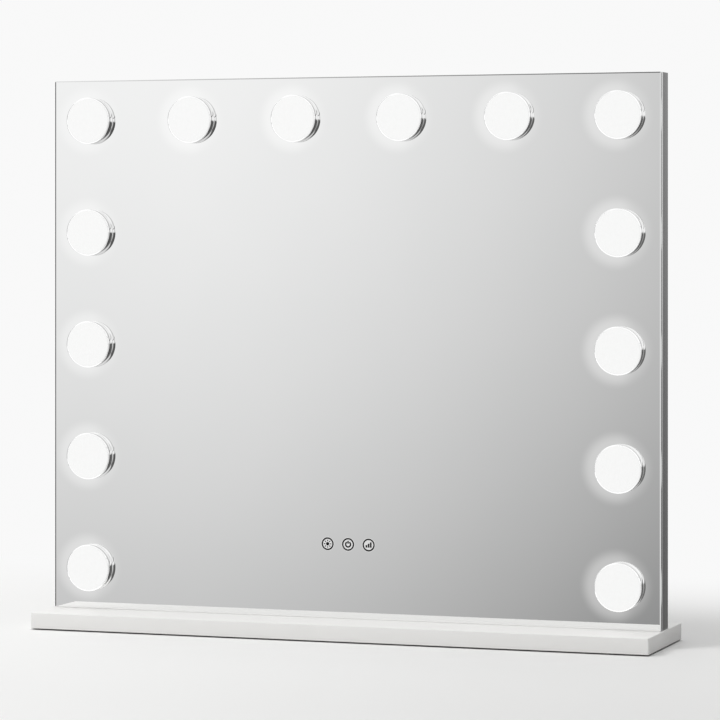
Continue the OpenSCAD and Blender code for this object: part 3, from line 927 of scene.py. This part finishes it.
def paintedShadeUnderside():
    # underside of the fibreboard with its fibres, coloured near black as painted shade in the gap
    # under the base
    def vary(place):
        fibres = grain(place, 700, 4)
        return {"Base Color": fibres.blend(colour(0.022, 0.019, 0.016), colour(0.05, 0.043, 0.036)),
                "Roughness": fibres * 0.2 + 0.75, "Normal": relief(fibres, 0.3, 0.1 * mm)}
    return makeFinish("paintedShadeUnderside", {}, vary)


baseSet = {
    "corner": 1.2 * mm, "edge": 0.8 * mm, "footEdge": 0.3 * mm,
    "screwX": (-0.250, -0.090, 0.090, 0.250),
    "holeR": 2.25 * mm, "boreR": 4.5 * mm, "boreDepth": 5.0 * mm,
}


def buildBase(use):
    low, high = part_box("base")
    middle = (low + high) / 2
    thick = high.z - low.z
    railMid = boxMiddle("frame_bottom").y
    place = toTop(Vector((middle.x, middle.y, high.z)))

    def outline(inset):
        return boxLoop(high.x - low.x, high.y - low.y, use["corner"], inset)

    levels = roundedEdge(use["edge"])
    lower = roundedEdge(use["footEdge"])
    bands = [0] * len(levels) + [1] * (len(lower) - 1)
    levels += [(inset, -thick - height) for inset, height in reversed(lower)]
    shoulder = use["boreDepth"] - thick
    bore = [(use["holeR"], 0), (use["holeR"], shoulder),
            (use["boreR"], shoulder), (use["boreR"], -thick)]
    holes = []
    for x in use["screwX"]:
        def hole(radius, x=x):
            return shiftedLoop(roundLoop(radius, 40), x - middle.x, railMid - middle.y)
        holes.append((hole, bore, False))
    builder = bmesh.new()
    cutShape(builder, place, outline, levels, holes, bands, (0, 1))
    # the underside takes the near-black painted shade
    slab = fromBuilder("baseSlab", builder, [satinLacquer(), paintedShadeUnderside()], 40)
    settle(slab, "base_lacquer", "base")


def footRubber():
    def vary(place):
        pores = grain(place, 1800, 3)
        return {"Base Color": pores.blend(grey(0.02), grey(0.045)), "Roughness": pores * 0.2 + 0.7,
                "Normal": relief(pores, 0.3, 0.1 * mm)}
    return makeFinish("footRubber", {}, vary)


footSet = {"radius": 9 * mm, "edge": 0.3 * mm, "draft": 0.4 * mm}


def buildFeet(use):
    low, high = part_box("rubber_feet")
    tall = high.z - low.z
    radius = use["radius"]
    sole = radius - use["draft"]
    profile = [(0, 0), (sole - use["edge"], 0), (sole, use["edge"]), (radius, tall), (0, tall)]
    builder = bmesh.new()
    for x in (low.x + radius, (low.x + high.x) / 2, high.x - radius):
        for y in (low.y + radius, high.y - radius):
            turnShape(builder, toTop(Vector((x, y, low.z))), profile, 48)
    settle(fromBuilder("rubberFeet", builder, [footRubber()]), "foot_rubber", "rubber_feet")


buildBase(baseSet)
buildFeet(footSet)
print("base: slab and feet")


def powderCoat():
    def vary(place):
        orange = grain(place, 1500, 3)
        coarse = grain(place, 500, 2)
        tone = coarse.blend(colour(0.74, 0.74, 0.73), colour(0.80, 0.80, 0.79))
        return {"Base Color": tone, "Roughness": orange * 0.15 + 0.5,
                "Normal": relief(orange * 0.6 + coarse * 0.4, 0.35, 0.12 * mm)}
    return makeFinish("powderCoat", {}, vary)


def zincPlate():
    def vary(place):
        bloom = grain(place, 500, 3)
        fine = grain(place, 3000, 2)
        tone = bloom.blend(colour(0.52, 0.53, 0.54), colour(0.68, 0.68, 0.67))
        return {"Base Color": tone, "Roughness": bloom * 0.15 + 0.22,
                "Normal": relief(fine, 0.1, 0.03 * mm)}
    return makeFinish("zincPlate", {"Metallic": 1.0}, vary)


def mouldedBlack():
    def vary(place):
        spark = grain(place, 2200, 3)
        return {"Base Color": spark.blend(grey(0.018), grey(0.035)),
                "Roughness": spark * 0.15 + 0.42, "Normal": relief(spark, 0.25, 0.06 * mm)}
    return makeFinish("mouldedBlack", {}, vary)


zinc = zincPlate()
black = mouldedBlack()
keyholeSet = {"x": 0.200, "z": 0.430, "headR": 4.5 * mm, "slotW": 4.6 * mm, "travel": 9 * mm}


def keyholeLoop(use, grow):
    # round head opening with a slot running up from it
    head = use["headR"] + grow
    half = use["slotW"] / 2 + grow
    start = math.acos(half / head)
    sweep = math.pi + 2 * start
    bottom = [onCircle(head, math.pi - start + sweep * k / 28) for k in range(29)]
    top = [onCircle(half, math.pi * k / 12) for k in range(13)]
    return bottom + shiftedLoop(top, 0, use["travel"])


panelSet = {"corner": 1.0 * mm, "edge": 0.2 * mm, "window": 1.6 * mm, "inletR": 5.65 * mm}


def buildBackPanel(use, keyhole):
    low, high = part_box("back_panel")
    middle = (low + high) / 2
    thick = high.y - low.y
    edge = use["edge"]
    inlet = boxMiddle("power_inlet_nut")

    def outline(inset):
        return boxLoop(high.x - low.x, high.z - low.z, use["corner"], inset)

    def inletHole(inset):
        loop = roundLoop(use["inletR"] + inset, 40)
        return shiftedLoop(loop, middle.x - inlet.x, inlet.z - middle.z)

    holes = []
    for side in (-1, 1):
        def window(inset, side=side):
            loop = keyholeLoop(keyhole, use["window"] + inset)
            return [(side * keyhole["x"] - u, v + keyhole["z"] - middle.z) for u, v in loop]
        holes.append((window, [(edge, 0), (0, -edge), (0, -thick)], False))
    holes.append((inletHole, [(0, 0), (0, -thick)], False))
    builder = bmesh.new()
    place = toBack(Vector((middle.x, high.y, middle.z)))
    levels = [(edge, 0), (edge * 0.3, -edge * 0.3), (0, -edge), (0, -thick)]
    cutShape(builder, place, outline, levels, holes)
    settle(fromBuilder("backPanel", builder, [powderCoat()]), "back_sheet", "back_panel")


screwSet = {
    "headR": 3.0 * mm, "headH": 1.4 * mm, "rim": 0.1 * mm,
    "flat": 0.62, "bulge": 0.86, "drop": 0.75,     # shape of the dome
    "shankR": 1.4 * mm, "shankL": 6 * mm,
    "recess": 0.9 * mm, "taper": 0.25 * mm,
    "armL": 0.95 * mm, "armW": 0.42 * mm, "armSoft": 0.12 * mm,
    "across": (-0.225, -0.075, 0.075, 0.225), "up": (-0.165, 0, 0.165), "turn": 37,
}


def crossLoop(arm, width, corner):
    # outline of a cross recess, its inner corners softened
    half = width / 2
    quarter = [(arm, -half), (arm, half), (half + corner, half), (half, half + corner)]
    return [point for k in range(4) for point in turnedLoop(quarter, math.pi / 2 * k)]


def addScrew(builder, place, use, turn):
    # domed head with a tapered cross recess, on a plain shank
    radius = use["headR"]
    tall = use["headH"]
    rim = use["rim"]
    shank = radius - use["shankR"]
    bulge = math.pi / 2 * use["bulge"]
    levels = []
    for k in range(6):
        angle = bulge * k / 5
        levels.append((radius * use["flat"] * (1 - math.sin(angle) / math.sin(bulge)),
                       tall - tall * use["drop"] * (1 - math.cos(angle))))
    levels += [(0, rim), (rim, 0), (shank, 0), (shank, -use["shankL"])]

    def head(inset):
        return roundLoop(radius - inset, 32)

    def recess(inset):
        cross = crossLoop(use["armL"] - inset, use["armW"] - inset / 2, use["armSoft"])
        return turnedLoop(cross, turn)

    depths = [(0, tall), (use["taper"], tall - use["recess"])]
    cutShape(builder, place, head, levels, [(recess, depths, True)])


def buildBackScrews(use):
    low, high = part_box("back_panel_screws")
    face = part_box("back_panel")[1].y
    radius = use["headR"]
    rows = [(x, z) for z in (low.z + radius, high.z - radius) for x in use["across"]]
    rows += [(x, midZ + z) for x in (low.x + radius, high.x - radius) for z in use["up"]]
    builder = bmesh.new()
    for count, (x, z) in enumerate(rows):
        addScrew(builder, toBack(Vector((x, face, z))), use, math.radians(use["turn"] * count))
    settle(fromBuilder("backPanelScrews", builder, [zinc]), "plated_steel", "back_panel_screws")


hangerSet = {
    "corner": 3 * mm, "edge": 0.2 * mm,
    "rivets": (-11 * mm, 25 * mm), "rivetR": 3.0 * mm, "rivetH": 0.8 * mm, "stemR": 1.6 * mm,
}


def buildHanger(side, sign, use, keyhole):
    low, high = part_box("hanger_" + side)
    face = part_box("back_panel")[0].y
    thick = face - low.y
    at = Vector((sign * keyhole["x"], face, keyhole["z"]))
    edge = use["edge"]

    def outline(inset):
        loop = boxLoop(high.x - low.x, high.z - low.z, use["corner"], inset)
        return shiftedLoop(loop, 0, (low.z + high.z) / 2 - keyhole["z"])

    builder = bmesh.new()
    levels = [(edge, 0), (0, -edge), (0, edge - thick), (edge, -thick)]
    opening = (lambda inset: keyholeLoop(keyhole, inset), levels, False)
    cutShape(builder, toBack(at), outline, levels, [opening])
    tall = use["rivetH"]
    seat = high.y - face - tall
    head = [(0, seat + tall)]
    for k in range(1, 6):
        angle = math.pi / 2 * k / 5
        head.append((use["rivetR"] * math.sin(angle), seat + tall * math.cos(angle)))
    head += [(use["stemR"], seat), (use["stemR"], 0), (0, 0)]
    for up in use["rivets"]:
        turnShape(builder, toBack(at + Vector((0, 0, up))), head, 32)
    plate = fromBuilder("hanger" + side.capitalize(), builder, [zinc])
    settle(plate, "plated_steel", "hanger_" + side)


inletSet = {
    "boreR": 2.85 * mm, "boreDepth": 9.5 * mm, "mouthR": 3.35 * mm, "mouthDepth": 0.5 * mm,
    "bodyR": 5.6 * mm, "bodyLength": 12 * mm, "pinBore": 1.05 * mm,
    "pinR": 1.0 * mm, "pinTip": 0.6 * mm, "pinFrom": 1.0 * mm, "pinEnd": 11.5 * mm,
    "tabW": 0.6 * mm, "tabH": 2.4 * mm, "tabAt": 2.4 * mm, "tabLength": 3 * mm,
    "tabCorner": 0.15 * mm,
}


def buildInlet(use):
    low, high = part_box("power_inlet")
    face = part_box("back_panel")[1].y
    spot = boxMiddle("power_inlet_nut")
    lip = high.y - face
    outer = (high.x - low.x) / 2
    foot = -use["bodyLength"]
    bottom = lip - use["boreDepth"]
    place = toBack(Vector((spot.x, face, spot.z)))
    profile = [(use["boreR"], bottom), (use["boreR"], lip - use["mouthDepth"]), (use["mouthR"], lip),
               (outer - 1.0 * mm, lip), (outer - 0.35 * mm, lip - 0.2 * mm),
               (outer, lip - 0.8 * mm), (outer, 0), (use["bodyR"], 0), (use["bodyR"], foot),
               (use["pinBore"], foot), (use["pinBore"], bottom)]
    builder = bmesh.new()
    turnShape(builder, place, profile)
    settle(fromBuilder("powerInlet", builder, [black]), "black_plastic", "power_inlet")
    top = lip - use["pinFrom"]
    pin = [(0, top), (use["pinTip"], top - 0.1 * mm), (use["pinR"], top - 0.6 * mm),
           (use["pinR"], -use["pinEnd"]), (0, -use["pinEnd"])]
    builder = bmesh.new()
    turnShape(builder, place, pin, 32)
    tab = boxLoop(use["tabW"], use["tabH"], use["tabCorner"])
    for sign in (-1, 1):
        cutShape(builder, place, lambda inset: shiftedLoop(tab, sign * use["tabAt"], 0),
                 [(0, foot), (0, foot - use["tabLength"])])
    settle(fromBuilder("powerInletPin", builder, [zinc]), "plated_steel")


buildBackPanel(panelSet, keyholeSet)
buildBackScrews(screwSet)
buildHanger("left", -1, hangerSet, keyholeSet)
buildHanger("right", 1, hangerSet, keyholeSet)
buildInlet(inletSet)
print("back: panel, screws, hangers and inlet")


def foamTape():
    def vary(place):
        cells = place.node("TexVoronoi", None, {"Vector": place, "Scale": 2200.0})
        return {"Base Color": cells.blend(grey(0.80), grey(0.66)), "Roughness": cells * 0.1 + 0.8,
                "Normal": relief(cells, 0.4, 0.15 * mm)}
    return makeFinish("foamTape", {}, vary)


def solderMask():
    def vary(place):
        traces = place.node("TexBrick", {"offset": 0.35}, {
            "Vector": stretched(place, (1, 0.2, 1)), "Scale": 160.0, "Mortar Size": 0.03,
            "Color1": grey(0), "Color2": grey(0), "Mortar": grey(1)})
        tone = traces.blend(colour(0.010, 0.12, 0.045), colour(0.03, 0.24, 0.10))
        return {"Base Color": tone, "Roughness": grain(place, 800) * 0.1 + 0.28}
    return makeFinish("solderMask", {"Coat Weight": 0.3}, vary)


def whiteBoard():
    def vary(place):
        speck = grain(place, 900, 3)
        return {"Base Color": speck.blend(colour(0.80, 0.80, 0.74), colour(0.88, 0.88, 0.84)),
                "Roughness": speck * 0.15 + 0.4}
    return makeFinish("whiteBoard", {}, vary)


def wireSkin(name, first, second):
    def vary(place):
        scuff = grain(place, 700, 3)
        return {"Base Color": scuff.blend(first, second), "Roughness": scuff * 0.2 + 0.3}
    return makeFinish(name, {}, vary)


def pressedZinc():
    def vary(place):
        bloom = grain(place, 260, 3)
        return {"Base Color": bloom.blend(grey(0.30), grey(0.44)), "Roughness": bloom * 0.2 + 0.35,
                "Normal": relief(bloom, 0.1, 0.05 * mm)}
    return makeFinish("pressedZinc", {"Metallic": 1.0}, vary)


# finishes for the CAD nodes that stay
keptFinishes = {
    "mirror_tape": foamTape(),
    "lamp_boards": whiteBoard(),
    "lamp_nuts": zinc,
    "lamp_wiring": wireSkin("redWire", colour(0.42, 0.02, 0.02), colour(0.55, 0.04, 0.035)),
    "touch_board": solderMask(),
    "touch_lead": wireSkin("greyRibbon", grey(0.42), grey(0.52)),
    "power_inlet_nut": zinc,
    "power_lead": wireSkin("blackWire", grey(0.02), grey(0.035)),
    "base_screws": zinc,
}
keptFinishes["control_board"] = keptFinishes["touch_board"]
cornerFinish = pressedZinc()
for nodeName in nodes:
    if nodeName.startswith("corner_key_"):
        keptFinishes[nodeName] = cornerFinish
for nodeName, keptFinish in keptFinishes.items():
    for slot in nodes[nodeName].material_slots:
        slot.link = "OBJECT"
        slot.material = keptFinish
print("kept CAD nodes:", len(keptFinishes))

bpy.context.view_layer.update()
